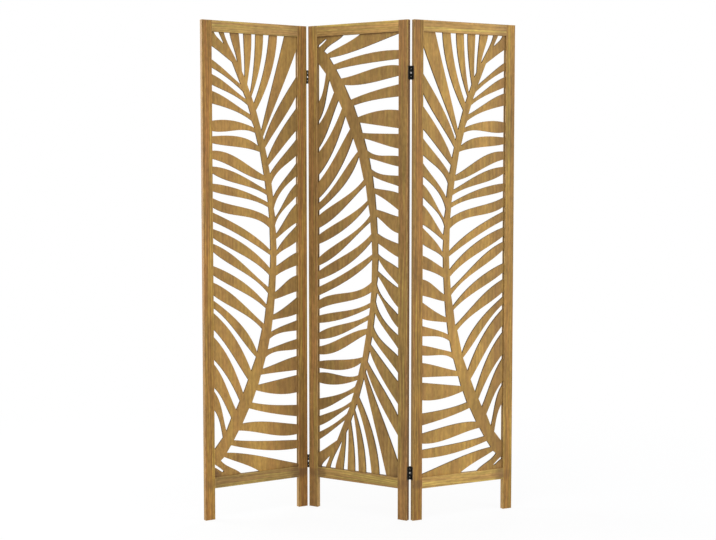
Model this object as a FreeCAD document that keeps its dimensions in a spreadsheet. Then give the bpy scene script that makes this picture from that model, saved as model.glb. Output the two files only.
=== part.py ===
"""Folding screen of three hinged wooden panels with palm-frond fret boards. Millimetres, Z up."""
import FreeCAD, Part
import os

import Sketcher
from FreeCAD import Placement, Rotation, Vector

os.makedirs("parts", exist_ok=True)
doc = FreeCAD.newDocument("folding_screen")

# Driving sizes, in millimetres
SIZES = {
    "panel_width": 400,
    "panel_height": 1700,
    "frame_thickness": 17,
    "stile_width": 36,
    "rail_height": 38,
    "leg_height": 108,
    "edge_round": 1.5,
    "fret_thickness": 6,
    "fret_clearance": 0.1,
    "groove_depth": 8,
    "board_edge_clearance": 1,
    "gap_tuck": 1,
    "frond_rise": 0.6,
    "turned_frond_rise": 3.9,
    "dowel_diameter": 8,
    "dowel_length": 40,
    "dowel_chamfer": 1,
    "dowel_clearance": 0.05,
    "dowel_end_clearance": 1,
    "hinge_height": 46,
    "lower_hinge_rise": 163,
    "upper_hinge_drop": 176,
    "leaf_thickness": 1,
    "leaf_gap": 0.6,
    "leaf_setback": 2,
    "leaf_corner_round": 2,
    "knuckle_gap": 1.2,
    "barrel_window": 6,
    "barrel_clearance": 0.3,
    "pin_diameter": 3,
    "pin_clearance": 0.05,
    "pin_head_diameter": 4.6,
    "pin_head_height": 1.2,
    "screw_diameter": 3.2,
    "screw_length": 14,
    "screw_tip_length": 4,
    "screw_clearance": 0.05,
    "screw_slot_width": 0.8,
    "screw_slot_depth": 0.6,
}

# How the screen stands, in degrees: the middle panel's turn, and each outer panel's fold away from in line
ANGLES = {
    "middle_turn_angle": 31.5,
    "left_fold_angle": 63,
    "right_fold_angle": 58,
}

# Places along a rail's solid height and along a hinge, as shares of them
DOWEL_SHARES = (0.28, 0.72)
SCREW_INSET_SHARE = 0.22

# Sizes that follow from the driving ones
WORKED_OUT = {
    "opening_width": "=panel_width - 2 * stile_width",
    "opening_low": "=leg_height + rail_height",
    "opening_height": "=panel_height - opening_low - rail_height",
    "groove_width": "=fret_thickness + 2 * fret_clearance",
    "groove_inset": "=(frame_thickness - groove_width) / 2",
    "groove_low": "=opening_low - groove_depth",
    "groove_height": "=opening_height + 2 * groove_depth",
    "board_tuck": "=groove_depth - board_edge_clearance",
    "board_width": "=opening_width + 2 * board_tuck",
    "board_height": "=opening_height + 2 * board_tuck",
    "dowel_hole_diameter": "=dowel_diameter + 2 * dowel_clearance",
    "dowel_hole_depth": "=dowel_length / 2 + dowel_end_clearance",
    "half_thickness": "=frame_thickness / 2",
    "half_gap": "=leaf_thickness + leaf_gap / 2",
    "bore_diameter": "=pin_diameter + 2 * pin_clearance",
    "barrel_diameter": "=bore_diameter + 2 * leaf_thickness",
    "axis_offset": "=barrel_diameter / 2 + barrel_clearance",
    "leaf_reach": "=frame_thickness - leaf_setback",
    "knuckle_length": "=(hinge_height - 2 * knuckle_gap - barrel_window) / 4",
    "second_knuckle_low": "=2 * knuckle_length + knuckle_gap + barrel_window",
    "lower_hinge_low": "=lower_hinge_rise - hinge_height / 2",
    "upper_hinge_low": "=panel_height - upper_hinge_drop - hinge_height / 2",
    "screw_line": "=axis_offset + half_thickness",
    "screw_head_radius": "=screw_diameter / 2 + leaf_thickness",
    "pilot_diameter": "=screw_diameter + 2 * screw_clearance",
    "pilot_depth": "=screw_length",
}

# The frond's gaps on the board as it stands in the left panel, as shares of the opening. Each side of a gap
# has its place on the frame, at one third and at two thirds of its length, and then its end at the midrib,
# across and up. The places are heights where a gap meets a stile, and widths where it meets a rail.
LEFT_GAP_SHARES = [
    ((.970, .959, .947, .240, .935), (.940, .923, .904, .340, .885)),
    ((.922, .908, .891, .365, .870), (.907, .892, .872, .400, .853)),
    ((.884, .872, .859, .420, .840), (.870, .856, .837, .452, .819)),
    ((.842, .834, .823, .465, .805), (.803, .806, .801, .497, .789)),
    ((.781, .780, .784, .505, .778), (.769, .771, .767, .540, .748)),
    ((.754, .748, .744, .560, .735), (.737, .730, .707, .605, .682)),
    ((.719, .704, .683, .615, .669), (.702, .693, .673, .627, .649)),
    ((.688, .668, .656, .640, .637), (.664, .656, .641, .652, .620)),
    ((.647, .636, .627, .655, .609), (.632, .616, .605, .667, .584)),
    ((.612, .594, .586, .670, .562), (.600, .577, .549, .677, .510)),
    ((.580, .557, .530, .678, .499), (.563, .543, .513, .672, .468)),
    ((.544, .516, .490, .665, .453), (.530, .504, .465, .654, .425)),
    ((.513, .480, .452, .650, .411), (.480, .459, .429, .628, .385)),
    ((.460, .433, .409, .620, .377), (.443, .417, .380, .597, .341)),
    ((.415, .388, .364, .573, .330), (.403, .374, .338, .512, .276)),
    ((.386, .353, .309, .500, .266), (.375, .343, .299, .440, .234)),
    ((.338, .303, .260, .405, .215), (.321, .290, .246, .345, .184)),
    ((.270, .244, .211, .305, .168), (.260, .231, .190, .260, .148)),
    ((.206, .188, .162, .205, .131), (.198, .180, .147, .145, .101)),
    ((.156, .144, .125, .105, .088), (.060, .070, .079, .105, .088)),
    ((.030, .024, .018, .110, .011), (.023, .018, .013, .100, .008)),
]
TOP_GAP_SHARES = [
    ((.030, .055, .095, .137, .975), (.090, .110, .130, .145, .975)),
    ((.145, .183, .238, .294, .936), (.215, .242, .276, .300, .936)),
    ((.315, .330, .342, .350, .915), (.372, .378, .384, .383, .902)),
    ((.462, .457, .438, .410, .887), (.512, .503, .482, .445, .867)),
    ((.600, .582, .534, .460, .860), (.672, .637, .577, .487, .844)),
    ((.765, .727, .642, .512, .829), (.855, .762, .667, .575, .783)),
]
RIGHT_GAP_SHARES = [
    ((.975, .903, .838, .593, .770), (.910, .868, .822, .605, .760)),
    ((.869, .823, .785, .617, .745), (.838, .805, .768, .645, .719)),
    ((.788, .761, .733, .655, .705), (.767, .740, .715, .675, .685)),
    ((.730, .712, .695, .690, .664), (.712, .686, .662, .710, .631)),
    ((.682, .666, .646, .717, .606), (.664, .643, .613, .735, .585)),
    ((.637, .618, .600, .730, .567), (.618, .598, .572, .745, .547)),
    ((.574, .563, .550, .742, .536), (.567, .550, .532, .751, .508)),
    ((.531, .519, .510, .745, .497), (.504, .495, .484, .744, .473)),
    ((.474, .468, .461, .738, .451), (.450, .442, .427, .728, .413)),
    ((.413, .408, .402, .722, .397), (.399, .384, .371, .706, .361)),
    ((.361, .355, .352, .696, .349), (.345, .338, .331, .678, .321)),
    ((.321, .320, .317, .660, .306), (.301, .295, .288, .636, .281)),
    ((.278, .276, .275, .612, .264), (.261, .254, .245, .574, .237)),
    ((.228, .227, .226, .552, .224), (.216, .211, .206, .521, .201)),
    ((.176, .174, .179, .495, .189), (.145, .148, .153, .446, .162)),
    ((.118, .126, .136, .410, .149), (.099, .108, .115, .330, .115)),
    ((.077, .078, .090, .287, .100), (.062, .066, .071, .228, .079)),
    ((.043, .044, .053, .195, .068), (.006, .024, .041, .145, .052)),
]
BOTTOM_GAP_SHARES = [
    ((.535, .415, .265, .115, .043), (.320, .238, .138, .077, .036)),
]

# The shares at which the points of a gap's side lie along it
STEP_SHARES = (0, 1 / 3, 2 / 3, 1)

X_AXIS = Vector(1, 0, 0)
Y_AXIS = Vector(0, 1, 0)
Z_AXIS = Vector(0, 0, 1)
HALF_TURN = 180
QUARTER_TURN = 90

sheet = doc.addObject("Spreadsheet::Sheet", "sizes")
for row, (alias, content) in enumerate((SIZES | ANGLES | WORKED_OUT).items(), 1):
    sheet.set(f"A{row}", alias)
    sheet.set(f"B{row}", str(content))
    sheet.setAlias(f"B{row}", alias)
doc.recompute()

pieces = []


def size(alias):
    """Read a size from the sheet."""
    return float(sheet.get(alias))


def new_body(name):
    body = doc.addObject("PartDesign::Body", name)
    body.Label = name
    return body


def new_sketch(body, role, name, rise=None):
    """Lay a sketch on one of the body's own planes, raised along the plane's normal."""
    plane = next(feature for feature in body.Origin.OriginFeatures if feature.Role == role)
    sketch = body.newObject("Sketcher::SketchObject", name)
    sketch.AttachmentSupport = [(plane, "")]
    sketch.MapMode = "FlatFace"
    if rise:
        sketch.setExpression("AttachmentOffset.Base.z", rise)
    return sketch


def dimension(sketch, name, expression, kind, *places):
    """Add a dimension that the sheet drives."""
    index = sketch.addConstraint(Sketcher.Constraint(kind, *places, 1.0))
    sketch.renameConstraint(index, name)
    sketch.setExpression(f"Constraints.{name}", expression)


def rectangle(body, role, name, width, height, left=None, low=None, rise=None):
    """Sketch a rectangle with its lower left corner at the given offsets from the origin."""
    sketch = new_sketch(body, role, name, rise)
    corners = [Vector(0, 0), Vector(1, 0), Vector(1, 1), Vector(0, 1)]
    for start, end in zip(corners, corners[1:] + corners[:1]):
        sketch.addGeometry(Part.LineSegment(start, end))
    for line in range(len(corners)):
        sketch.addConstraint(Sketcher.Constraint("Coincident", line, 2, (line + 1) % len(corners), 1))
        sketch.addConstraint(Sketcher.Constraint("Vertical" if line % 2 else "Horizontal", line))
    dimension(sketch, "width", width, "DistanceX", 0, 1, 0, 2)
    dimension(sketch, "height", height, "DistanceY", 1, 1, 1, 2)
    if left:
        dimension(sketch, "left", left, "DistanceX", -1, 1, 0, 1)
    else:
        sketch.addConstraint(Sketcher.Constraint("PointOnObject", 0, 1, -2))
    if low:
        dimension(sketch, "low", low, "DistanceY", -1, 1, 0, 1)
    else:
        sketch.addConstraint(Sketcher.Constraint("PointOnObject", 0, 1, -1))
    return sketch


def circles(body, role, name, diameter, centres=None, rise=None):
    """Sketch a circle at each centre, or one about the origin."""
    sketch = new_sketch(body, role, name, rise)
    for number, (across, up) in enumerate(centres or [(None, None)]):
        sketch.addGeometry(Part.Circle(Vector(), Z_AXIS, 1))
        dimension(sketch, f"diameter_{number}", diameter, "Diameter", number)
        if centres:
            dimension(sketch, f"across_{number}", across, "DistanceX", -1, 1, number, 3)
            dimension(sketch, f"up_{number}", up, "DistanceY", -1, 1, number, 3)
        else:
            sketch.addConstraint(Sketcher.Constraint("Coincident", number, 3, -1, 1))
    return sketch


def pad(body, sketch, length, reverse=False):
    feature = body.newObject("PartDesign::Pad", f"{sketch.Name}_pad")
    feature.Profile = sketch
    feature.Reversed = reverse
    feature.setExpression("Length", length)
    return feature


def pocket(body, sketch, depth, reverse=False):
    feature = body.newObject("PartDesign::Pocket", f"{sketch.Name}_pocket")
    feature.Profile = sketch
    feature.Reversed = reverse
    feature.setExpression("Length", depth)
    return feature


def edges_along(shape, axis):
    """Name the edges of a shape that run straight along an axis."""
    names = []
    for number, edge in enumerate(shape.Edges, 1):
        straight = edge.Curve.TypeId == "Part::GeomLine"
        if straight and edge.Curve.Direction.isParallel(axis, Part.Precision.angular()):
            names.append(f"Edge{number}")
    return names


def soften(body, kind, base, edges, measure, expression):
    """Round or chamfer edges of the feature made last."""
    feature = body.newObject(f"PartDesign::{kind}", f"{base.Name}_{kind.lower()}")
    feature.Base = (base, edges)
    feature.setExpression(measure, expression)
    return feature


def dowel_heights(edge, sign):
    """Heights of a joint's dowels, measured inward from a rail's outer edge."""
    return [f"{edge} {sign} {share} * (sizes.rail_height - sizes.groove_depth)" for share in DOWEL_SHARES]


def screw_heights():
    """Heights of the screws on a hinged stile, two for each hinge."""
    return [f"sizes.{hinge}_hinge_low + {share} * sizes.hinge_height"
            for hinge in ("lower", "upper") for share in (SCREW_INSET_SHARE, 1 - SCREW_INSET_SHARE)]


def stile(name, hinged):
    """A stile with its outer edge at x = 0 and its groove and dowel holes on the inner edge."""
    body = new_body(name)
    profile = rectangle(body, "XY_Plane", "profile", "sizes.stile_width", "sizes.frame_thickness")
    blank = pad(body, profile, "sizes.panel_height")
    doc.recompute()
    soften(body, "Fillet", blank, edges_along(blank.Shape, Z_AXIS), "Radius", "sizes.edge_round")
    groove = rectangle(body, "XZ_Plane", "groove", "sizes.groove_depth", "sizes.groove_height",
                       "sizes.stile_width - sizes.groove_depth", "sizes.groove_low", "-sizes.groove_inset")
    pocket(body, groove, "sizes.groove_width")
    heights = dowel_heights("sizes.leg_height", "+") + dowel_heights("sizes.panel_height", "-")
    centres = [("sizes.half_thickness", height) for height in heights]
    holes = circles(body, "YZ_Plane", "dowel_holes", "sizes.dowel_hole_diameter", centres,
                    "sizes.stile_width")
    pocket(body, holes, "sizes.dowel_hole_depth")
    if hinged:
        centres = [("sizes.half_thickness", height) for height in screw_heights()]
        pilots = circles(body, "YZ_Plane", "pilot_holes", "sizes.pilot_diameter", centres)
        pocket(body, pilots, "sizes.pilot_depth", True)
    return body


def rail(name):
    """A rail with its outer edge at z = 0, its groove on the inner edge and dowel holes in both ends."""
    body = new_body(name)
    profile = rectangle(body, "YZ_Plane", "profile", "sizes.frame_thickness", "sizes.rail_height")
    blank = pad(body, profile, "sizes.opening_width")
    doc.recompute()
    soften(body, "Fillet", blank, edges_along(blank.Shape, X_AXIS), "Radius", "sizes.edge_round")
    groove = rectangle(body, "YZ_Plane", "groove", "sizes.groove_width", "sizes.groove_depth",
                       "sizes.groove_inset", "sizes.rail_height - sizes.groove_depth")
    pocket(body, groove, "sizes.opening_width", True)
    centres = [("sizes.half_thickness", height) for height in dowel_heights("0", "+")]
    for end, across, inward in (("near", None, True), ("far", "sizes.opening_width", False)):
        holes = circles(body, "YZ_Plane", f"{end}_holes", "sizes.dowel_hole_diameter", centres, across)
        pocket(body, holes, "sizes.dowel_hole_depth", inward)
    return body


def gap_side(side, edge, rise):
    """Points of one side of a gap on the board, from the frame to the midrib, raised with the frond."""
    *places, across, up = side
    lift = rise / size("opening_height")
    up += lift
    far = {"left": 0, "bottom": 0, "right": 1, "top": 1}[edge]
    outward = (2 * far - 1) * size("gap_tuck")
    points = []
    for step, place in zip(STEP_SHARES, [*places, None]):
        if edge in ("left", "right"):
            share = (far + step * (across - far), up if place is None else place + lift)
        else:
            share = (across if place is None else place, far + step * (up - far))
        points.append(Vector(size("board_tuck") + share[0] * size("opening_width"),
                             size("board_tuck") + share[1] * size("opening_height")))
    points[0] += outward * (X_AXIS if edge in ("left", "right") else Y_AXIS)
    return points


def gap_outline(gap, edge, rise):
    """The closed outline of a gap: two curved sides, the end at the midrib and the end on the frame."""
    first, second = (gap_side(side, edge, rise) for side in gap)
    outline = []
    for points in (first, second):
        curve = Part.BSplineCurve()
        curve.interpolate(points)
        outline.append(curve)
    for start, end in ((first[0], second[0]), (first[-1], second[-1])):
        if not start.isEqual(end, Part.Precision.confusion()):
            outline.append(Part.LineSegment(start, end))
    return outline


def fret(name, rise):
    """The pierced board, its lower left corner at the origin, its thickness along y and its frond raised."""
    body = new_body(name)
    profile = rectangle(body, "XZ_Plane", "profile", "sizes.board_width", "sizes.board_height")
    pad(body, profile, "sizes.fret_thickness", True)
    gaps = new_sketch(body, "XZ_Plane", "gaps")
    tables = {"left": LEFT_GAP_SHARES, "top": TOP_GAP_SHARES,
              "right": RIGHT_GAP_SHARES, "bottom": BOTTOM_GAP_SHARES}
    for edge, table in tables.items():
        for gap in table:
            gaps.addGeometry(gap_outline(gap, edge, rise))
    pocket(body, gaps, "sizes.fret_thickness")
    return body


def dowel(name):
    """A dowel along z, centred on the joint that it crosses."""
    body = new_body(name)
    blank = pad(body, circles(body, "XY_Plane", "profile", "sizes.dowel_diameter", None,
                              "-sizes.dowel_length / 2"), "sizes.dowel_length")
    doc.recompute()
    rims = [f"Edge{number}" for number, edge in enumerate(blank.Shape.Edges, 1)
            if edge.Curve.TypeId == "Part::GeomCircle"]
    soften(body, "Chamfer", blank, rims, "Size", "sizes.dowel_chamfer")
    return body


def leaf(name):
    """A hinge leaf beside its barrel's axis: a plate along y with two knuckles about z.

    Turned over, the same leaf fits its knuckles between these, and leaves a window at the barrel's middle.
    """
    body = new_body(name)
    plate = pad(body, rectangle(body, "XY_Plane", "plate", "sizes.leaf_thickness", "sizes.leaf_reach",
                                "sizes.leaf_gap / 2", "sizes.axis_offset"), "sizes.hinge_height")
    doc.recompute()
    corners = [edge for edge in edges_along(plate.Shape, X_AXIS)
               if plate.Shape.getElement(edge).CenterOfMass.y > size("screw_line")]
    soften(body, "Fillet", plate, corners, "Radius", "sizes.leaf_corner_round")
    for low in (None, "sizes.second_knuckle_low"):
        web = rectangle(body, "XY_Plane", "web", "sizes.leaf_thickness", "sizes.axis_offset",
                        "sizes.leaf_gap / 2", None, low)
        pad(body, web, "sizes.knuckle_length")
        barrel = circles(body, "XY_Plane", "barrel", "sizes.barrel_diameter", None, low)
        pad(body, barrel, "sizes.knuckle_length")
    pocket(body, circles(body, "XY_Plane", "bore", "sizes.bore_diameter"), "sizes.hinge_height", True)
    for share in (SCREW_INSET_SHARE, 1 - SCREW_INSET_SHARE):
        cone = body.newObject("PartDesign::SubtractiveCone", "countersink")
        cone.Placement = Placement(Vector(), Rotation(Y_AXIS, QUARTER_TURN))
        cone.setExpression("Radius1", "sizes.screw_head_radius + sizes.screw_clearance")
        cone.setExpression("Radius2", "sizes.pilot_diameter / 2")
        cone.setExpression("Height", "sizes.leaf_thickness")
        cone.setExpression("Placement.Base.x", "sizes.leaf_gap / 2")
        cone.setExpression("Placement.Base.y", "sizes.screw_line")
        cone.setExpression("Placement.Base.z", f"{share} * sizes.hinge_height")
    return body


def hinge_pin(name):
    """A hinge pin standing on z = 0, with its head on top of the barrel."""
    body = new_body(name)
    pad(body, circles(body, "XY_Plane", "shank", "sizes.pin_diameter"), "sizes.hinge_height")
    head = circles(body, "XY_Plane", "head", "sizes.pin_head_diameter", None, "sizes.hinge_height")
    pad(body, head, "sizes.pin_head_height")
    return body


def screw(name):
    """A countersunk wood screw pointing down z, with the face of its slotted head at the origin."""
    body = new_body(name)
    profile = new_sketch(body, "XZ_Plane", "profile")
    radius = size("screw_diameter") / 2
    outline = [Vector(0, 0), Vector(size("screw_head_radius"), 0),
               Vector(radius, -size("leaf_thickness")),
               Vector(radius, size("screw_tip_length") - size("screw_length")),
               Vector(0, -size("screw_length"))]
    for start, end in zip(outline, outline[1:] + outline[:1]):
        profile.addGeometry(Part.LineSegment(start, end))
    turned = body.newObject("PartDesign::Revolution", "turned")
    turned.Profile = profile
    turned.ReferenceAxis = (profile, ["V_Axis"])
    slot = body.newObject("PartDesign::SubtractiveBox", "slot")
    slot.setExpression("Length", "2 * sizes.screw_head_radius")
    slot.setExpression("Width", "sizes.screw_slot_width")
    slot.setExpression("Height", "sizes.screw_slot_depth")
    slot.setExpression("Placement.Base.x", "-sizes.screw_head_radius")
    slot.setExpression("Placement.Base.y", "-sizes.screw_slot_width / 2")
    slot.setExpression("Placement.Base.z", "-sizes.screw_slot_depth")
    return body


def panel_places():
    """Placements of the three panels about the two fold axes, and the axes' places."""
    width = size("panel_width")
    gap = size("half_gap")
    front = -size("axis_offset")
    back = size("frame_thickness") + size("axis_offset")
    places = {"middle": Placement(Vector(), Rotation(Z_AXIS, -size("middle_turn_angle")))}
    folds = {}
    for panel, near, far in (("left", Vector(width + gap, front), Vector(-gap, front)),
                             ("right", Vector(-gap, back), Vector(width + gap, back))):
        turn = Rotation(Z_AXIS, size(f"{panel}_fold_angle") - size("middle_turn_angle"))
        folds[panel] = places["middle"].multVec(far)
        places[panel] = Placement(folds[panel] - turn.multVec(near), turn)
    return places, folds


def add(piece, panel, place):
    """Seat a piece in its panel."""
    piece.Placement = places[panel].multiply(place)
    pieces.append(piece)


def add_group(name, solid, panel, seats):
    """Seat copies of one small solid in a panel as a group."""
    group = doc.addObject("Part::Feature", name)
    group.Label = name
    copies = []
    for seat in seats:
        copies.append(solid.Shape.copy())
        copies[-1].Placement = seat
    group.Shape = Part.makeCompound(copies)
    add(group, panel, Placement())


def add_panel(panel, hinged_left, hinged_right, board_turn, rise):
    """Build a panel's frame, board and dowels, with its front lower left corner at its origin."""
    width = size("panel_width")
    depth = size("frame_thickness")
    rail_start = size("stile_width")
    rail_end = width - rail_start
    around = Rotation(Z_AXIS, HALF_TURN)
    over = Rotation(Y_AXIS, HALF_TURN)
    add(stile(f"{panel}_panel_left_stile", hinged_left), panel, Placement())
    add(stile(f"{panel}_panel_right_stile", hinged_right), panel, Placement(Vector(width, depth), around))
    add(rail(f"{panel}_panel_bottom_rail"), panel,
        Placement(Vector(rail_start, 0, size("leg_height")), Rotation()))
    add(rail(f"{panel}_panel_top_rail"), panel,
        Placement(Vector(rail_end, 0, size("panel_height")), over))
    low = size("opening_low") - size("board_tuck")
    centre = Vector(width, depth, 2 * low + size("board_height")) / 2
    half_board = Vector(size("board_width"), size("fret_thickness"), size("board_height")) / 2
    board = fret(f"{panel}_panel_fret", rise)
    add(board, panel, Placement(centre - board_turn.multVec(half_board), board_turn))
    lying = Rotation(Y_AXIS, QUARTER_TURN)
    seats = []
    for across in (rail_start, rail_end):
        for share in DOWEL_SHARES:
            inward = share * (size("rail_height") - size("groove_depth"))
            for up in (size("leg_height") + inward, size("panel_height") - inward):
                seats.append(Placement(Vector(across, depth / 2, up), lying))
    add_group(f"{panel}_panel_dowels", dowel_blank, panel, seats)


def add_fold(panel, at_front):
    """Build the hinges between an outer panel and the middle one, with their barrels in front or behind."""
    width = size("panel_width")
    depth = size("frame_thickness")
    gap = size("half_gap")
    axis_depth = -size("axis_offset") if at_front else depth + size("axis_offset")
    # The outer panel lies to the left of a front barrel and to the right of a rear one
    sides = {panel: at_front, "middle": not at_front}
    turns = {(True, True): Rotation(Y_AXIS, HALF_TURN), (True, False): Rotation(Z_AXIS, HALF_TURN),
             (False, True): Rotation(), (False, False): Rotation(X_AXIS, HALF_TURN)}
    seats = {panel: [], "middle": []}
    for level in ("upper", "lower"):
        low = size(f"{level}_hinge_low")
        middle_height = low + size("hinge_height") / 2
        name = f"{panel}_fold_{level}"
        for owner, on_left in sides.items():
            turn = turns[on_left, at_front]
            axis_across = width + gap if on_left else -gap
            half_height = turn.multVec(Vector(0, 0, size("hinge_height") / 2))
            place = Placement(Vector(axis_across, axis_depth, middle_height) - half_height, turn)
            add(leaf(f"{name}_{owner}_leaf"), owner, place)
            face = width + size("leaf_thickness") if on_left else -size("leaf_thickness")
            drive = Rotation(Y_AXIS, QUARTER_TURN if on_left else -QUARTER_TURN)
            for share in (SCREW_INSET_SHARE, 1 - SCREW_INSET_SHARE):
                up = low + share * size("hinge_height")
                seats[owner].append(Placement(Vector(face, depth / 2, up), drive))
        axis_across = width + gap if sides[panel] else -gap
        add(hinge_pin(f"{name}_pin"), panel, Placement(Vector(axis_across, axis_depth, low), Rotation()))
    for owner in sides:
        add_group(f"{panel}_fold_{owner}_screws", screw_blank, owner, seats[owner])


def stand_at_origin():
    """Move the screen so that the middle of its outline on the floor is the origin."""
    whole = FreeCAD.BoundBox()
    for piece in pieces:
        whole.add(piece.Shape.optimalBoundingBox(False, False))
    shift = Vector(whole.Center.x, whole.Center.y, whole.ZMin)
    for piece in pieces:
        piece.Placement = Placement(-shift, Rotation()).multiply(piece.Placement)
    doc.recompute()
    for panel, axis in folds.items():
        print(f"{panel} fold axis at {axis.x - shift.x:.4f}, {axis.y - shift.y:.4f}")
    for panel, place in places.items():
        print(f"{panel} panel corner at {place.Base.x - shift.x:.4f}, {place.Base.y - shift.y:.4f}")


def check():
    """Stop if a feature failed, a cut missed its solid or a piece has no valid shape."""
    for thing in doc.Objects:
        if "Invalid" in thing.State or "Error" in thing.State:
            raise RuntimeError(f"{thing.Label} failed")
        if thing.TypeId == "PartDesign::Pocket" and thing.Shape.Volume >= thing.BaseFeature.Shape.Volume:
            raise RuntimeError(f"{thing.Label} cuts nothing")
    for piece in pieces:
        if piece.Shape.isNull() or not piece.Shape.isValid():
            raise RuntimeError(f"{piece.Label} has no valid shape")


places, folds = panel_places()
dowel_blank = dowel("dowel")
screw_blank = screw("screw")
doc.recompute()

add_panel("left", False, True, Rotation(), size("frond_rise"))
add_panel("middle", True, True, Rotation(X_AXIS, HALF_TURN), -size("turned_frond_rise"))
add_panel("right", True, False, Rotation(Z_AXIS, HALF_TURN), size("frond_rise"))
add_fold("left", True)
add_fold("right", False)
doc.recompute()
check()
stand_at_origin()
check()

for piece in pieces:
    piece.Shape.exportStep(f"parts/{piece.Label}.step")
print(f"{len(pieces)} pieces written")
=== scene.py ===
"""Looks of the folding screen: stained wood, black hinges, studio floor and light. Metres, Z up."""
import math
from collections import namedtuple

import bpy
from mathutils import Matrix, Vector


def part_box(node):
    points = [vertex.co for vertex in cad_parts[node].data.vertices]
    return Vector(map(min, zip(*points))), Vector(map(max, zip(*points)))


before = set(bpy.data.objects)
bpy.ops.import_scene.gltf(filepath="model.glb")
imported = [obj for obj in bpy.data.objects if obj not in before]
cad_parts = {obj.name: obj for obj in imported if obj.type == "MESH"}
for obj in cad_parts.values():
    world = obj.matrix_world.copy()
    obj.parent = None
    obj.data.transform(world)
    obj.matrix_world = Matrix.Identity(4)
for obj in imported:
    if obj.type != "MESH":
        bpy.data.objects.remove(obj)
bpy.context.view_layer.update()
scene = bpy.context.scene
scene.view_settings.view_transform = "Standard"

PANELS = ("left", "middle", "right")
MILLIMETRE = 0.001
WHITE = (1, 1, 1, 1)

# Stain colours as they show on the wood, in display values of 0 to 255
RED_GOLD = {"Gold": (175, 140, 61), "Red": (161, 110, 52), "Brown": (125, 89, 36), "Deep": (96, 65, 29)}
DEEP_GOLD = {"Gold": (172, 143, 60), "Red": (163, 117, 54), "Brown": (129, 97, 42), "Deep": (100, 70, 32)}
MELLOW_GOLD = {"Gold": (171, 142, 70), "Red": (161, 115, 65), "Brown": (130, 98, 50), "Deep": (102, 72, 36)}
YELLOW_GOLD = {"Gold": (168, 146, 74), "Red": (158, 122, 70), "Brown": (130, 101, 53), "Deep": (101, 74, 38)}
WARM_BOARD = {"Gold": (167, 132, 65), "Red": (154, 109, 60), "Brown": (130, 97, 46), "Deep": (104, 74, 35)}
PALE_BOARD = {"Gold": (166, 133, 70), "Red": (154, 110, 65), "Brown": (130, 98, 49), "Deep": (105, 75, 38)}
BEECH = {"Gold": (216, 180, 132), "Red": (204, 160, 114), "Brown": (196, 154, 106), "Deep": (168, 122, 78)}
# Dark brown for stain pooled at the joints and for painted shade; pale wood for rubbed arrises and corners
# and for painted light
POOLED_STAIN_AND_PAINTED_SHADE = (92, 63, 38)
RUBBED_WOOD_AND_PAINTED_LIGHT = (196, 158, 100)
END_GRAIN = (112, 78, 42)
PLY_PALE = (112, 86, 50)
PLY_DARK = (74, 54, 31)

# Metal colours in the same values
HINGE_PAINT = (18, 17, 16)
HINGE_RUBBED = (62, 58, 54)
SCREW_OXIDE = (22, 21, 20)
SCREW_RUBBED = (92, 88, 84)
PIN_ZINC = (240, 239, 235)
PIN_DULL = (206, 205, 200)

# The stain of each stile and rail, and how light it is: partly the wood's own tone, partly painted light and
# shade, with the middle and right panels' rails painted lighter and the left panel's right stile and the
# right panel's left stile painted darker
FRAME_STAINS_AND_PAINTED_LIGHT = {
    "left": {
        "left_stile": (RED_GOLD, 1.02),
        "right_stile": (RED_GOLD, 0.97),
        "top_rail": (YELLOW_GOLD, 1.05),
        "bottom_rail": (YELLOW_GOLD, 0.98),
    },
    "middle": {
        "left_stile": (MELLOW_GOLD, 1.04),
        "right_stile": (MELLOW_GOLD, 1.0),
        "top_rail": (YELLOW_GOLD, 1.24),
        "bottom_rail": (YELLOW_GOLD, 1.1),
    },
    "right": {
        "left_stile": (RED_GOLD, 0.95),
        "right_stile": (DEEP_GOLD, 0.98),
        "top_rail": (YELLOW_GOLD, 1.18),
        "bottom_rail": (YELLOW_GOLD, 1.16),
    },
}

# Darker patches about the joints, partly stain that pooled there and partly painted shade at the panels' far,
# shaded ends: its depth and reach, and the end of each panel's rails that it is at, 1 for the right one and
# -1 for the left one
RAIL_JOINT_STAIN_AND_SHADE = {"top_rail": 0.2, "bottom_rail": 0.6}
STILE_JOINT_STAIN_AND_SHADE = {"left_panel_right_stile": 0.6, "right_panel_left_stile": 0.5}
PLAIN_JOINT_STAIN_AND_SHADE = 0.3
RAIL_JOINT_REACH = 50 * MILLIMETRE
STILE_JOINT_REACH = 30 * MILLIMETRE
SHADED_RAIL_END = {"left": 1, "middle": -1, "right": 1}

# Painted shade, in a dark colour, and painted light, in a pale one, and its depth on the faces round each
# opening and on some outer edges
RAIL_INNER_PAINTED_SHADE_AND_LIGHT = {"left": (POOLED_STAIN_AND_PAINTED_SHADE, 0.15), "middle": (POOLED_STAIN_AND_PAINTED_SHADE, 0.5), "right": (RUBBED_WOOD_AND_PAINTED_LIGHT, 0.5)}
STILE_INNER_PAINTED_LIGHT = (RUBBED_WOOD_AND_PAINTED_LIGHT, 0.45)
OUTER_EDGE_PAINTED_SHADE_AND_LIGHT = {
    "left_panel_left_stile": (RUBBED_WOOD_AND_PAINTED_LIGHT, 0.25),
    "middle_panel_right_stile": (POOLED_STAIN_AND_PAINTED_SHADE, 0.6),
    "right_panel_left_stile": (RUBBED_WOOD_AND_PAINTED_LIGHT, 0.5),
}

# Each board's stain, and how deep its painted shade is towards the right stile and in the lower corners
BOARD_STAINS = {"left": WARM_BOARD, "middle": PALE_BOARD, "right": WARM_BOARD}
RIGHT_SIDE_PAINTED_SHADE = {"left": 0.25, "middle": 0.0, "right": 0.2}
LOW_CORNER_PAINTED_SHADE = {"left": 0.85, "middle": 0.6, "right": 0.15}

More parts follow.
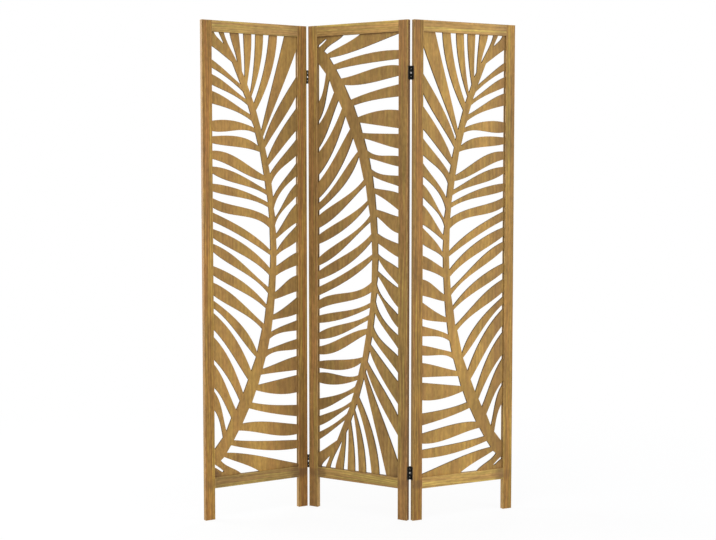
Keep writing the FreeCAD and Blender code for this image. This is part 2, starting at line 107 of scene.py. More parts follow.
# Marks of the grain: noises drawn out along it, and the two noise values between which each comes to show
Mark = namedtuple("Mark", "across along detail roughness low high")
RING_WANDER = Mark(4.0, 1.6, 2.0, 0.5, 0.2, 0.8)
RED_STREAKS = Mark(75.0, 1.8, 4.0, 0.55, 0.35, 0.65)
DARK_STREAKS = Mark(170.0, 3.2, 5.0, 0.62, 0.42, 0.68)
PORES = Mark(900.0, 26.0, 1.0, 0.5, 0.6, 0.74)
FIBRES = Mark(2200.0, 50.0, 1.0, 0.5, 0.2, 0.8)
PATCHES = Mark(9.0, 3.5, 5.0, 0.65, 0.25, 0.75)
BLOTCHES = Mark(130.0, 50.0, 2.0, 0.5, 0.28, 0.72)

# Growth rings: their form, how far they stray, how they draw out along the trunk, and each ring's late wood
RING_FORM = {"Distortion": 1.4, "Detail": 2.0, "Detail Scale": 0.55, "Detail Roughness": 0.5}
RING_DRIFT = 6 * MILLIMETRE
RING_TAPER = (1.0, 1.0, 0.05)
LATE_WOOD_RISE = (0.25, 0.86)
LATE_WOOD_FALL = (1.0, 0.94)

# How the marks of the grain change its colour, lightness, roughness and relief
RED_DEPTH = 0.8
DARK_DEPTH = 0.6
LATE_WOOD_DEPTH = 0.4
PORE_DEPTH = 0.38
FIBRE_SHADE = (0.95, 1.05)
BLOTCH_SHADE = (0.87, 1.13)
PATCH_SHADE = (0.77, 1.23)
PORE_ROUGHNESS = 0.16
FIBRE_ROUGHNESS = 0.1
LATE_WOOD_RELIEF = 0.35
FIBRE_RELIEF = 0.3
PORE_RELIEF = 0.6

# Patches that are alike in all directions
Patch = namedtuple("Patch", "scale detail low high")
ARRIS_PATCHES = Patch(45.0, 3.0, 0.38, 0.66)
END_FLECKS = Patch(700.0, 2.0, 0.3, 0.7)
JOINT_SPREAD = Patch(40.0, 2.0, 0.25, 0.75)
SAWN_CORNER_PATCHES = Patch(30.0, 3.0, 0.4, 0.65)
RUBBED_SPECKS = Patch(260.0, 3.0, 0.56, 0.72)

# Edges, ends and joints of the wood: two numbers are a range, four are a range and what it is mapped to
ARRIS_REACH = 3 * MILLIMETRE
ARRIS_DEPTH = 0.6
END_FACING = (0.6, 0.9)
END_DEPTH = (0.55, 0.9)
JOINT_REACH_SHARES = (0.5, 1.5)
JOINT_FADE = (0.15, 1.0, 1.0, 0.0)
EDGE_FACING = (0.55, 0.9)

# Sawn edges of the boards
SAWN_FACING = (0.15, 0.5, 1.0, 0.0)
SAWN_CORNER_RISE = (0.3, 0.6)
SAWN_CORNER_FALL = (0.98, 0.85)
SAWN_CORNER_DEPTH = 0.5
SAWN_ROUGHNESS = 0.4
PLY_LAYERS = {"Scale": 130.0, "Distortion": 0.8, "Detail": 1.0, "Detail Scale": 0.4}
PLY_PALE_RANGE = (0.6, 1.4)
SCORCH_SCALE = 60.0
SCORCH_DETAIL = 3.0

# Painted shade on the boards beside the frame, and their lightness from the stiles inwards and from the rails
# inwards
RIM_REACH = 6 * MILLIMETRE
BESIDE_STILE_DEPTH = 0.2
UNDER_RAIL_DEPTH = 0.6
RIGHT_SIDE_SPAN = (0.06, 0.17)
LOW_CORNER_SPAN = (0.02, 0.075)
LOW_CORNER_RAG = 50 * MILLIMETRE
LOW_CORNER_SCALE = 45.0
LIGHTNESS_FROM_STILES = (-0.03, 0.15, 0.91, 1.07)
LIGHTNESS_FROM_RAILS = (0.0, 0.4, 1.04, 1.0)

# Metal skin
PIT_SCALE = 2600.0
COAT_ROUGHNESS = 0.18
METAL_BUMP = 0.15
METAL_RELIEF = 0.05 * MILLIMETRE

# Wood of the frames, the boards and the dowels
EVEN_STREAKS = (1, 1, 1)
WOOD_SPECULAR = 0.25
FRAME_RINGS = 58.0
FRAME_FIGURE = 1.65
FRAME_GLOSS = 0.46
FRAME_BUMP = 0.35
FRAME_RELIEF = 0.3 * MILLIMETRE
FRAME_PLANK_STEP = (0.37, 0.61, 1.93)
BOARD_RINGS = 26.0
BOARD_STREAKS = (0.65, 0.65, 0.8)
BOARD_FIGURE = 0.7
BOARD_GLOSS = 0.5
BOARD_BUMP = 0.3
BOARD_RELIEF = 0.25 * MILLIMETRE
BOARD_PLANK_STEP = (0.53, 0.71, 1.37)
DOWEL_RINGS = 110.0
DOWEL_PITH = (0.05, 0.04, 0.0)
DOWEL_FIGURE = 0.8
DOWEL_GLOSS = 0.5
DOWEL_BUMP = 0.2
DOWEL_RELIEF = 0.2 * MILLIMETRE


def linear(display):
    """A shader colour from display values."""
    shares = [value / 255 for value in display]
    return (*(share / 12.92 if share <= 0.04045 else ((share + 0.055) / 1.055) ** 2.4 for share in shares), 1)


def put(tree, kind, inputs=None, **settings):
    """Place a node, set its own settings, and set or feed its inputs."""
    made = tree.nodes.new(kind)
    for name, value in settings.items():
        setattr(made, name, value)
    for name, value in (inputs or {}).items():
        if isinstance(value, bpy.types.NodeSocket):
            tree.links.new(value, made.inputs[name])
        else:
            made.inputs[name].default_value = value
    return made


def maths(tree, operation, *values):
    return put(tree, "ShaderNodeMath", dict(enumerate(values)), operation=operation).outputs[0]


def vector_maths(tree, operation, *values):
    return put(tree, "ShaderNodeVectorMath", dict(enumerate(values)), operation=operation).outputs[0]


def parts_of(tree, vector):
    """A vector's x, y and z."""
    return put(tree, "ShaderNodeSeparateXYZ", {0: vector}).outputs


def mixed(tree, factor, first, second):
    """Mix two colours."""
    return put(tree, "ShaderNodeMix", {0: factor, 6: first, 7: second}, data_type="RGBA").outputs[2]


def eased(tree, value, low, high, to_low=0.0, to_high=1.0):
    """Map a value smoothly from one range to another, held at the ends."""
    made = put(tree, "ShaderNodeMapRange", {0: value, 1: low, 2: high, 3: to_low, 4: to_high},
               interpolation_type="SMOOTHSTEP")
    return made.outputs[0]


def cloud(tree, vector, scale, detail=2.0, roughness=0.5):
    """A noise value about 0.5."""
    return put(tree, "ShaderNodeTexNoise", {"Vector": vector, "Scale": scale, "Detail": detail,
                                            "Roughness": roughness}).outputs[0]


def mark_noise(tree, place, mark):
    """The noise of a mark of the grain, drawn out along z."""
    drawn_out = vector_maths(tree, "MULTIPLY", place, (mark.across, mark.across, mark.along))
    return cloud(tree, drawn_out, 1.0, mark.detail, mark.roughness)


def shown(tree, noise, mark, to_low=0.0, to_high=1.0):
    """How much of a mark or patch shows, from its noise."""
    return eased(tree, noise, mark.low, mark.high, to_low, to_high)


def patchy(tree, place, patch, to_low=0.0, to_high=1.0):
    """How much of a patch shows."""
    return shown(tree, cloud(tree, place, patch.scale, patch.detail), patch, to_low, to_high)


def new_group(name, inputs, outputs):
    """Start a shader node group with named sockets, and give its tree, its inputs and its end node."""
    tree = bpy.data.node_groups.new(name, "ShaderNodeTree")
    for way, sockets in (("INPUT", inputs), ("OUTPUT", outputs)):
        for label, kind in sockets.items():
            tree.interface.new_socket(label, in_out=way, socket_type=f"NodeSocket{kind}")
    start = tree.nodes.new("NodeGroupInput")
    return tree, start.outputs, tree.nodes.new("NodeGroupOutput")


def give(tree, end, **values):
    """Feed a group's outputs."""
    for name, value in values.items():
        tree.links.new(value, end.inputs[name])


def grain_group():
    """Stained softwood with its grain along z: growth rings, streaks, pores and an uneven, blotchy stain."""
    tree, given, end = new_group(
        "stained grain",
        {"Vector": "Vector", "Shift": "Vector", "Pith": "Vector", "Ring Scale": "Float",
         "Streak Scale": "Vector", "Figure": "Float", "Gold": "Color", "Red": "Color", "Brown": "Color",
         "Deep": "Color", "Gloss": "Float"},
        {"Color": "Color", "Roughness": "Float", "Height": "Float"})
    place = vector_maths(tree, "ADD", given["Vector"], given["Shift"])
    streak_place = vector_maths(tree, "MULTIPLY", place, given["Streak Scale"])

    wander = shown(tree, mark_noise(tree, place, RING_WANDER), RING_WANDER, -RING_DRIFT, RING_DRIFT)
    drift = put(tree, "ShaderNodeCombineXYZ", {"X": wander, "Y": wander}).outputs[0]
    from_pith = vector_maths(tree, "ADD", given["Vector"], given["Pith"])
    ring_place = vector_maths(tree, "MULTIPLY", vector_maths(tree, "ADD", from_pith, drift), RING_TAPER)
    rings = put(tree, "ShaderNodeTexWave", {"Vector": ring_place, "Scale": given["Ring Scale"], **RING_FORM},
                wave_type="RINGS", rings_direction="Z", wave_profile="SAW").outputs["Fac"]
    late_wood = maths(tree, "MULTIPLY", eased(tree, rings, *LATE_WOOD_RISE),
                      eased(tree, rings, *LATE_WOOD_FALL))

    red_streaks = shown(tree, mark_noise(tree, streak_place, RED_STREAKS), RED_STREAKS)
    dark_streaks = shown(tree, mark_noise(tree, streak_place, DARK_STREAKS), DARK_STREAKS)
    pores = shown(tree, mark_noise(tree, place, PORES), PORES)
    fibre = mark_noise(tree, place, FIBRES)
    colour = given["Gold"]
    for mark, depth, stain in ((red_streaks, RED_DEPTH, "Red"), (dark_streaks, DARK_DEPTH, "Brown"),
                               (late_wood, LATE_WOOD_DEPTH, "Brown"), (pores, PORE_DEPTH, "Deep")):
        strength = maths(tree, "MULTIPLY", mark, maths(tree, "MULTIPLY", given["Figure"], depth))
        colour = mixed(tree, strength, colour, given[stain])

    blotches = shown(tree, mark_noise(tree, place, BLOTCHES), BLOTCHES, *BLOTCH_SHADE)
    patches = shown(tree, mark_noise(tree, place, PATCHES), PATCHES, *PATCH_SHADE)
    fine_shade = maths(tree, "MULTIPLY", shown(tree, fibre, FIBRES, *FIBRE_SHADE), blotches)
    shade = maths(tree, "MULTIPLY", patches, fine_shade)
    colour = put(tree, "ShaderNodeHueSaturation", {"Value": shade, "Color": colour}).outputs[0]

    fibre_roughness = maths(tree, "MULTIPLY", fibre, FIBRE_ROUGHNESS)
    unevenness = maths(tree, "MULTIPLY_ADD", pores, PORE_ROUGHNESS, fibre_roughness)
    roughness = maths(tree, "ADD", given["Gloss"], unevenness)
    fibre_relief = maths(tree, "MULTIPLY", fibre, FIBRE_RELIEF)
    raised = maths(tree, "MULTIPLY_ADD", late_wood, LATE_WOOD_RELIEF, fibre_relief)
    height = maths(tree, "SUBTRACT", raised, maths(tree, "MULTIPLY", pores, PORE_RELIEF))
    give(tree, end, Color=colour, Roughness=roughness, Height=height)
    return tree


def arris_group():
    """Stain rubbed thin along the arrises of a square piece, by the distance to the nearest one."""
    tree, given, end = new_group(
        "rubbed arris",
        {"Color": "Color", "Vector": "Vector", "Half Size": "Vector", "Reach": "Float", "Rubbed": "Color"},
        {"Color": "Color"})
    from_middle = vector_maths(tree, "ABSOLUTE", given["Vector"])
    sides = parts_of(tree, vector_maths(tree, "SUBTRACT", given["Half Size"], from_middle))
    nearest = maths(tree, "MINIMUM", maths(tree, "MINIMUM", sides[0], sides[1]), sides[2])
    furthest = maths(tree, "MAXIMUM", maths(tree, "MAXIMUM", sides[0], sides[1]), sides[2])
    total = maths(tree, "ADD", maths(tree, "ADD", sides[0], sides[1]), sides[2])
    to_edge = maths(tree, "SUBTRACT", maths(tree, "SUBTRACT", total, nearest), furthest)
    close = eased(tree, to_edge, 0.0, given["Reach"], 1.0, 0.0)
    worn = maths(tree, "MULTIPLY", close, patchy(tree, given["Vector"], ARRIS_PATCHES))
    mask = maths(tree, "MULTIPLY", worn, ARRIS_DEPTH)
    give(tree, end, Color=mixed(tree, mask, given["Color"], given["Rubbed"]))
    return tree


def end_grain_group():
    """Darker, stain-soaked wood where a surface cuts across the grain."""
    tree, given, end = new_group(
        "end grain",
        {"Color": "Color", "Facing": "Vector", "Vector": "Vector", "End": "Color"},
        {"Color": "Color"})
    along = maths(tree, "ABSOLUTE", parts_of(tree, given["Facing"])[2])
    flecks = patchy(tree, given["Vector"], END_FLECKS, *END_DEPTH)
    mask = maths(tree, "MULTIPLY", eased(tree, along, *END_FACING), flecks)
    give(tree, end, Color=mixed(tree, mask, given["Color"], given["End"]))
    return tree


def joint_group():
    """A darker soft patch about a joint, at a place along the piece: partly pooled stain, partly painted
    shade.
    """
    tree, given, end = new_group(
        "pooled stain",
        {"Color": "Color", "Vector": "Vector", "Along": "Float", "Place": "Float", "Reach": "Float",
         "Pooled": "Color", "Depth": "Float"},
        {"Color": "Color"})
    away = maths(tree, "ABSOLUTE", maths(tree, "SUBTRACT", given["Along"], given["Place"]))
    ragged = patchy(tree, given["Vector"], JOINT_SPREAD, *JOINT_REACH_SHARES)
    share = maths(tree, "DIVIDE", away, maths(tree, "MULTIPLY", given["Reach"], ragged))
    mask = maths(tree, "MULTIPLY", eased(tree, share, *JOINT_FADE), given["Depth"])
    give(tree, end, Color=mixed(tree, mask, given["Color"], given["Pooled"]))
    return tree


def edge_stain_group():
    """Painted shade, in a dark colour, and painted light, in a pale one, on the narrow faces that look one
    way.
    """
    tree, given, end = new_group(
        "edge painted shade and light",
        {"Color": "Color", "Facing": "Vector", "Outward": "Vector", "Stain": "Color", "Depth": "Float"},
        {"Color": "Color"})
    towards = put(tree, "ShaderNodeVectorMath", {0: given["Facing"], 1: given["Outward"]},
                  operation="DOT_PRODUCT").outputs["Value"]
    mask = maths(tree, "MULTIPLY", eased(tree, towards, *EDGE_FACING), given["Depth"])
    give(tree, end, Color=mixed(tree, mask, given["Color"], given["Stain"]))
    return tree


def sawn_edge_group():
    """The pierced board's sawn edges, with the layers of the ply, and its eased corners rubbed thin."""
    tree, given, end = new_group(
        "sawn ply edge",
        {"Color": "Color", "Facing": "Vector", "Vector": "Vector", "Pale": "Color", "Dark": "Color",
         "Rubbed": "Color"},
        {"Color": "Color", "Mask": "Float"})
    front = maths(tree, "ABSOLUTE", parts_of(tree, given["Facing"])[1])
    sawn = eased(tree, front, *SAWN_FACING)
    layers = put(tree, "ShaderNodeTexWave", {"Vector": given["Vector"], **PLY_LAYERS},
                 wave_type="BANDS", bands_direction="Y", wave_profile="SIN").outputs["Fac"]
    scorch = cloud(tree, given["Vector"], SCORCH_SCALE, SCORCH_DETAIL)
    pale = eased(tree, maths(tree, "ADD", layers, scorch), *PLY_PALE_RANGE)
    edged = mixed(tree, sawn, given["Color"], mixed(tree, pale, given["Dark"], given["Pale"]))
    corner = maths(tree, "MULTIPLY", eased(tree, front, *SAWN_CORNER_RISE),
                   eased(tree, front, *SAWN_CORNER_FALL))
    worn = patchy(tree, given["Vector"], SAWN_CORNER_PATCHES, 0.0, SAWN_CORNER_DEPTH)
    rub = maths(tree, "MULTIPLY", corner, worn)
    give(tree, end, Color=mixed(tree, rub, edged, given["Rubbed"]), Mask=sawn)
    return tree


def rim_group():
    """A board's colour: lighter down its middle and towards its ends, with painted shade beside the frame,
    under the top rail, towards the right stile and in the lower corners.
    """
    tree, given, end = new_group(
        "painted rim shade",
        {"Color": "Color", "Vector": "Vector", "Opening": "Vector", "Reach": "Float", "Right Depth": "Float",
         "Corner Depth": "Float", "Pooled": "Color"},
        {"Color": "Color"})
    from_middle = vector_maths(tree, "ABSOLUTE", given["Vector"])
    inward = parts_of(tree, vector_maths(tree, "SUBTRACT", given["Opening"], from_middle))
    to_stile = inward[0]
    to_rail = inward[2]
    across, _, height = parts_of(tree, given["Vector"])
    top = parts_of(tree, given["Opening"])[2]

    # Painted shade beside the stiles, towards the right stile, under the top rail and in the lower corners
    beside_stiles = eased(tree, to_stile, 0.0, given["Reach"], BESIDE_STILE_DEPTH, 0.0)
    by_right_stile = maths(tree, "MULTIPLY", eased(tree, across, *RIGHT_SIDE_SPAN), given["Right Depth"])
    to_top = maths(tree, "SUBTRACT", top, height)
    under_rail = eased(tree, to_top, 0.0, given["Reach"], UNDER_RAIL_DEPTH, 0.0)
    spread = put(tree, "ShaderNodeCombineXYZ", {"X": to_stile, "Y": to_rail}).outputs[0]
    to_corner = put(tree, "ShaderNodeVectorMath", {0: spread}, operation="LENGTH").outputs["Value"]
    ragged = maths(tree, "MULTIPLY_ADD", cloud(tree, given["Vector"], LOW_CORNER_SCALE), LOW_CORNER_RAG,
                   to_corner)
    low_half = maths(tree, "LESS_THAN", height, 0.0)
    low_corner = maths(tree, "MULTIPLY", eased(tree, ragged, *LOW_CORNER_SPAN, given["Corner Depth"], 0.0),
                       low_half)
    darkened = beside_stiles
    for depth in (under_rail, low_corner, by_right_stile):
        darkened = maths(tree, "MAXIMUM", darkened, depth)

    lightness = maths(tree, "MULTIPLY", eased(tree, to_stile, *LIGHTNESS_FROM_STILES),
                      eased(tree, to_rail, *LIGHTNESS_FROM_RAILS))
    colour = put(tree, "ShaderNodeHueSaturation", {"Value": lightness, "Color": given["Color"]}).outputs[0]
    give(tree, end, Color=mixed(tree, darkened, colour, given["Pooled"]))
    return tree


def metal_group():
    """A metal skin: an uneven coat, fine pits, and the coat rubbed through in specks."""
    tree, given, end = new_group(
        "metal skin",
        {"Vector": "Vector", "Coat": "Color", "Rubbed": "Color", "Wear": "Float", "Gloss": "Float"},
        {"Color": "Color", "Roughness": "Float", "Height": "Float"})
    pits = cloud(tree, given["Vector"], PIT_SCALE)
    blotches = cloud(tree, given["Vector"], RUBBED_SPECKS.scale, RUBBED_SPECKS.detail)
    rubbed = maths(tree, "MULTIPLY", shown(tree, blotches, RUBBED_SPECKS), given["Wear"])
    roughness = maths(tree, "MULTIPLY_ADD", blotches, COAT_ROUGHNESS, given["Gloss"])
    colour = mixed(tree, rubbed, given["Coat"], given["Rubbed"])
    give(tree, end, Color=colour, Roughness=roughness, Height=pits)
    return tree


GROUPS = {
    "grain": grain_group(),
    "arris": arris_group(),
    "end": end_grain_group(),
    "joint": joint_group(),
    "edge": edge_stain_group(),
    "sawn": sawn_edge_group(),
    "rim": rim_group(),
    "metal": metal_group(),
}


def use(tree, group, **inputs):
    """Place one of the groups. Spaces in socket names are written as underscores."""
    named = {name.replace("_", " "): value for name, value in inputs.items()}
    return put(tree, "ShaderNodeGroup", named, node_tree=GROUPS[group]).outputs


def new_material(name):
    made = bpy.data.materials.new(name)
    made.use_nodes = True
    made.node_tree.nodes.clear()
    return made, made.node_tree


def surface(tree, colour, roughness, height, bump, relief, **constants):
    """End a material in its shader, with its bump."""
    normal = put(tree, "ShaderNodeBump", {"Height": height, "Strength": bump, "Distance": relief}).outputs[0]
    shader = put(tree, "ShaderNodeBsdfPrincipled",
                 {"Base Color": colour, "Roughness": roughness, "Normal": normal})
    for label, value in constants.items():
        shader.inputs[label.replace("_", " ")].default_value = value
    put(tree, "ShaderNodeOutputMaterial", {"Surface": shader.outputs[0]})


def middle(node):
    low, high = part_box(node)
    return (low + high) / 2


def panel_turn(panel):
    """A panel's turn about the upright, from the places of its stiles."""
    across = middle(f"{panel}_panel_right_stile") - middle(f"{panel}_panel_left_stile")
    return math.atan2(across.y, across.x)


def piece_frame(node, panel, grain_across):
    """A piece's turn, middle and half size in its own axes: x across, y through and z along the grain."""
    turn = Matrix.Rotation(-panel_turn(panel), 3, "Z")
    if grain_across:
        turn = Matrix.Rotation(math.radians(-90), 3, "Y") @ turn
    centre = middle(node)
    spots = [turn @ (vertex.co - centre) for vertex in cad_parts[node].data.vertices]
    half_size = Vector(max(abs(spot[axis]) for spot in spots) for axis in range(3))
    return turn, centre, half_size


def piece_places(tree, turn, centre):
    """The place on a piece in its own axes, and the way its surface faces in them."""
    source = put(tree, "ShaderNodeTexCoord").outputs
    angles = turn.to_euler("XYZ")
    place = put(tree, "ShaderNodeMapping", {"Vector": source["Object"], "Location": -(turn @ centre),
                                            "Rotation": angles}, vector_type="POINT").outputs[0]
    facing = put(tree, "ShaderNodeMapping", {"Vector": source["Normal"], "Rotation": angles},
                 vector_type="VECTOR").outputs[0]
    return place, facing


def toned(stain, tone=1.0):
    """A stain's colours for the grain, lighter or darker by a tone."""
    return {name: linear([value * tone for value in display]) for name, display in stain.items()}


def plank_shift(number, step):
    """Each piece is cut from its own plank, so its grain is taken from a place of its own."""
    return tuple(length * number for length in step)


def frame_pith(number):
    """The heart of the trunk that a stile or rail was cut from, in a new place from piece to piece."""
    across = (21 + 4 * (number % 5)) * MILLIMETRE
    through = (34 + 3 * (number % 7)) * MILLIMETRE
    along = 0.2 * number
    return across, through, along


def board_pith(number):
    """The heart of the trunk that a board's face was cut from, in the board's middle on the middle panel."""
    across = 80 * (number - 2) * MILLIMETRE
    through = 90 * MILLIMETRE
    return across, through, 0.0


def frame_wood(panel, piece, number, stain):
    """Stained wood of one stile or rail."""
    node = f"{panel}_panel_{piece}"
    is_rail = piece in RAIL_JOINT_STAIN_AND_SHADE
    turn, centre, half_size = piece_frame(node, panel, is_rail)
    made, tree = new_material(f"{node} wood")
    place, facing = piece_places(tree, turn, centre)
    grain = use(tree, "grain", Vector=place, Shift=plank_shift(number, FRAME_PLANK_STEP),
                Pith=frame_pith(number), Ring_Scale=FRAME_RINGS, Streak_Scale=EVEN_STREAKS,
                Figure=FRAME_FIGURE, Gloss=FRAME_GLOSS, **stain)
    if is_rail:
        joint = half_size.z * SHADED_RAIL_END[panel]
        joint_depth = RAIL_JOINT_STAIN_AND_SHADE[piece]
        joint_reach = RAIL_JOINT_REACH
        inner_painted_tone, inner_depth = RAIL_INNER_PAINTED_SHADE_AND_LIGHT[panel]
    else:
        joint = middle(f"{panel}_panel_bottom_rail").z - centre.z
        joint_depth = STILE_JOINT_STAIN_AND_SHADE.get(node, PLAIN_JOINT_STAIN_AND_SHADE)
        joint_reach = STILE_JOINT_REACH
        inner_painted_tone, inner_depth = STILE_INNER_PAINTED_LIGHT
    # Darker about the joint: partly pooled stain, partly painted shade at the rails' far ends
    darkened = use(tree, "joint", Color=grain["Color"], Vector=place, Along=parts_of(tree, place)[2],
                 Place=joint, Reach=joint_reach, Pooled=linear(POOLED_STAIN_AND_PAINTED_SHADE), Depth=joint_depth)
    # Painted light and painted shade on the faces round the opening and on some outer edges
    inward = math.copysign(1, (turn @ (middle(f"{panel}_panel_fret") - centre)).x)
    edged = use(tree, "edge", Color=darkened["Color"], Facing=facing, Outward=(inward, 0, 0),
                Stain=linear(inner_painted_tone), Depth=inner_depth)
    if node in OUTER_EDGE_PAINTED_SHADE_AND_LIGHT:
        outer_painted_tone, outer_depth = OUTER_EDGE_PAINTED_SHADE_AND_LIGHT[node]
        edged = use(tree, "edge", Color=edged["Color"], Facing=facing, Outward=(-inward, 0, 0),
                    Stain=linear(outer_painted_tone), Depth=outer_depth)
    soaked = use(tree, "end", Color=edged["Color"], Facing=facing, Vector=place, End=linear(END_GRAIN))
    rubbed = use(tree, "arris", Color=soaked["Color"], Vector=place, Half_Size=half_size, Reach=ARRIS_REACH,
                 Rubbed=linear(RUBBED_WOOD_AND_PAINTED_LIGHT))
    surface(tree, rubbed["Color"], grain["Roughness"], grain["Height"], FRAME_BUMP, FRAME_RELIEF,
            Specular_IOR_Level=WOOD_SPECULAR)
    return made


def board_wood(panel, number):
    """Stained ply of one pierced board."""
    node = f"{panel}_panel_fret"
    turn, centre, half_size = piece_frame(node, panel, False)
    made, tree = new_material(f"{node} wood")
    place, facing = piece_places(tree, turn, centre)
    grain = use(tree, "grain", Vector=place, Shift=plank_shift(number, BOARD_PLANK_STEP),
                Pith=board_pith(number), Ring_Scale=BOARD_RINGS, Streak_Scale=BOARD_STREAKS,
                Figure=BOARD_FIGURE, Gloss=BOARD_GLOSS, **toned(BOARD_STAINS[panel]))
    half_rail = piece_frame(f"{panel}_panel_top_rail", panel, True)[2].z
    opening = Vector((half_rail, half_size.y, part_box(f"{panel}_panel_top_rail")[0].z - centre.z))
    # Painted shade beside the frame and in the lower corners, and a lightness that changes across the board
    shaded = use(tree, "rim", Color=grain["Color"], Vector=place, Opening=opening, Reach=RIM_REACH,
                 Right_Depth=RIGHT_SIDE_PAINTED_SHADE[panel], Corner_Depth=LOW_CORNER_PAINTED_SHADE[panel],
                 Pooled=linear(POOLED_STAIN_AND_PAINTED_SHADE))
    sawn = use(tree, "sawn", Color=shaded["Color"], Facing=facing, Vector=place, Pale=linear(PLY_PALE),
               Dark=linear(PLY_DARK), Rubbed=linear(RUBBED_WOOD_AND_PAINTED_LIGHT))
    roughness = maths(tree, "MULTIPLY_ADD", sawn["Mask"], SAWN_ROUGHNESS, grain["Roughness"])
    surface(tree, sawn["Color"], roughness, grain["Height"], BOARD_BUMP, BOARD_RELIEF,
            Specular_IOR_Level=WOOD_SPECULAR)
    return made


def dowel_wood():
    """Plain beech with short flecks."""
    made, tree = new_material("dowel beech")
    place = put(tree, "ShaderNodeTexCoord").outputs["Object"]
    grain = use(tree, "grain", Vector=place, Pith=DOWEL_PITH, Ring_Scale=DOWEL_RINGS,
                Streak_Scale=EVEN_STREAKS, Figure=DOWEL_FIGURE, Gloss=DOWEL_GLOSS, **toned(BEECH))
    surface(tree, grain["Color"], grain["Roughness"], grain["Height"], DOWEL_BUMP, DOWEL_RELIEF)
    return made


def metal(name, coat, rubbed, wear, gloss, metallic):
    made, tree = new_material(name)
    place = put(tree, "ShaderNodeTexCoord").outputs["Object"]
    skin = use(tree, "metal", Vector=place, Coat=linear(coat), Rubbed=linear(rubbed), Wear=wear, Gloss=gloss)
    surface(tree, skin["Color"], skin["Roughness"], skin["Height"], METAL_BUMP, METAL_RELIEF,
            Metallic=metallic)
    return made


def finish_node(node, material):
    """Give a carried-over piece its material."""
    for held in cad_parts[node].material_slots:
        held.material = material


# Wood
for panel_number, panel in enumerate(PANELS):
    for piece_number, (piece, (stain, tone)) in enumerate(FRAME_STAINS_AND_PAINTED_LIGHT[panel].items()):
        plank_number = 1 + len(FRAME_STAINS_AND_PAINTED_LIGHT[panel]) * panel_number + piece_number
        # Each piece's tone is partly the wood's own and partly painted light and shade
        wood = frame_wood(panel, piece, plank_number, toned(stain, tone))
        finish_node(f"{panel}_panel_{piece}", wood)
    finish_node(f"{panel}_panel_fret", board_wood(panel, 1 + panel_number))

# Dowels and metal, by the endings of their names
SMALL_PIECES = {
    "dowels": dowel_wood(),
    "leaf": metal("hinge black", HINGE_PAINT, HINGE_RUBBED, wear=0.35, gloss=0.34, metallic=0.0),
    "screws": metal("screw black", SCREW_OXIDE, SCREW_RUBBED, wear=0.6, gloss=0.3, metallic=0.7),
    "pin": metal("pin zinc", PIN_ZINC, PIN_DULL, wear=0.5, gloss=0.1, metallic=1.0),
}
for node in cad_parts:
    for ending, material in SMALL_PIECES.items():
        if node.endswith(ending):
            finish_node(node, material)


def background_rays(tree):
    """One for the rays that see the ground itself: from the camera and from glossy or clear surfaces."""
    rays = put(tree, "ShaderNodeLightPath").outputs
    seen = maths(tree, "MAXIMUM", rays["Is Camera Ray"], rays["Is Glossy Ray"])
    return maths(tree, "MAXIMUM", seen, rays["Is Transmission Ray"])


# Studio: a white ground that keeps a faint shadow near the screen and fades to plain white
AMBIENT = 0.62
FILL_TINT = (0.95, 0.99, 1.06, 1)
FLOOR_GREY = (0.85, 0.85, 0.85, 1)
FLOOR_REACH = 15.0
SHADOW_SHARE = 0.1
FADE_START = 0.8
FADE_END = 2.6

world = bpy.data.worlds.new("studio")
world.use_nodes = True
tree = world.node_tree
tree.nodes.clear()
strength = put(tree, "ShaderNodeMapRange", {0: background_rays(tree), 3: AMBIENT, 4: 1.0}).outputs[0]
tint = mixed(tree, background_rays(tree), FILL_TINT, WHITE)
sky = put(tree, "ShaderNodeBackground", {"Color": tint, "Strength": strength})
put(tree, "ShaderNodeOutputWorld", {"Surface": sky.outputs[0]})
scene.world = world

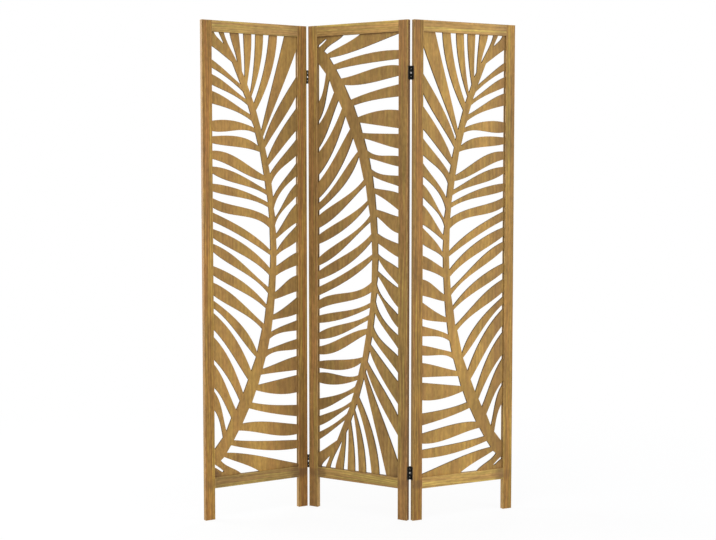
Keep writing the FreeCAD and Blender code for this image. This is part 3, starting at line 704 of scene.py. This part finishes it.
floor_mesh = bpy.data.meshes.new("studio_floor")
floor_corners = [(FLOOR_REACH * x, FLOOR_REACH * y, 0) for x, y in ((-1, -1), (1, -1), (1, 1), (-1, 1))]
floor_mesh.from_pydata(floor_corners, [], [(0, 1, 2, 3)])
floor = bpy.data.objects.new("studio_floor", floor_mesh)
scene.collection.objects.link(floor)
paint, tree = new_material("studio floor white")
place = put(tree, "ShaderNodeTexCoord").outputs["Object"]
away = put(tree, "ShaderNodeVectorMath", {0: place}, operation="LENGTH").outputs["Value"]
plain = eased(tree, away, FADE_START, FADE_END, 1.0 - SHADOW_SHARE, 1.0)
matt = put(tree, "ShaderNodeBsdfDiffuse", {"Color": FLOOR_GREY})
glow = put(tree, "ShaderNodeEmission", {"Color": WHITE, "Strength": 1.0})
ground = put(tree, "ShaderNodeMixShader", {0: maths(tree, "MULTIPLY", plain, background_rays(tree)),
                                           1: matt.outputs[0], 2: glow.outputs[0]})
put(tree, "ShaderNodeOutputMaterial", {"Surface": ground.outputs[0]})
floor_mesh.materials.append(paint)

# Lamps, all aimed at the screen's middle
SCREEN_MIDDLE = Vector((0, 0, 0.9))
PLAIN_LIGHT = (1, 1, 1)
WARM_LIGHT = (1.0, 0.97, 0.9)


def lamp(name, place, size, power, colour=PLAIN_LIGHT):
    """A soft square lamp, its size in metres and its power in watts."""
    light = bpy.data.lights.new(name, "AREA")
    light.size = size
    light.energy = power
    light.color = colour
    made = bpy.data.objects.new(name, light)
    made.location = place
    made.rotation_euler = (SCREEN_MIDDLE - Vector(place)).to_track_quat("-Z", "Y").to_euler()
    scene.collection.objects.link(made)


lamp("right_softbox", (4.4, -2.2, 1.5), size=3.0, power=112, colour=WARM_LIGHT)
lamp("left_softbox", (-3.6, 0.9, 1.6), size=2.0, power=88)
lamp("top_softbox", (-0.9, -1.8, 4.2), size=2.0, power=45)
lamp("back_softbox", (1.2, 3.8, 2.6), size=2.2, power=40)

# Camera at the photograph's place, above the screen's middle and tipped down a little
CAMERA_PLACE = (-0.00809, -4.54725, 1.17699)
CAMERA_TIP = math.radians(4.068)
CAMERA_LENS = 66.157
CAMERA_SENSOR = 36

camera_data = bpy.data.cameras.new("camera")
camera_data.sensor_width = CAMERA_SENSOR
camera_data.lens = CAMERA_LENS
camera = bpy.data.objects.new("camera", camera_data)
camera.location = CAMERA_PLACE
camera.rotation_euler = (math.pi / 2 - CAMERA_TIP, 0, 0)
scene.collection.objects.link(camera)
scene.camera = camera

bpy.context.view_layer.update()
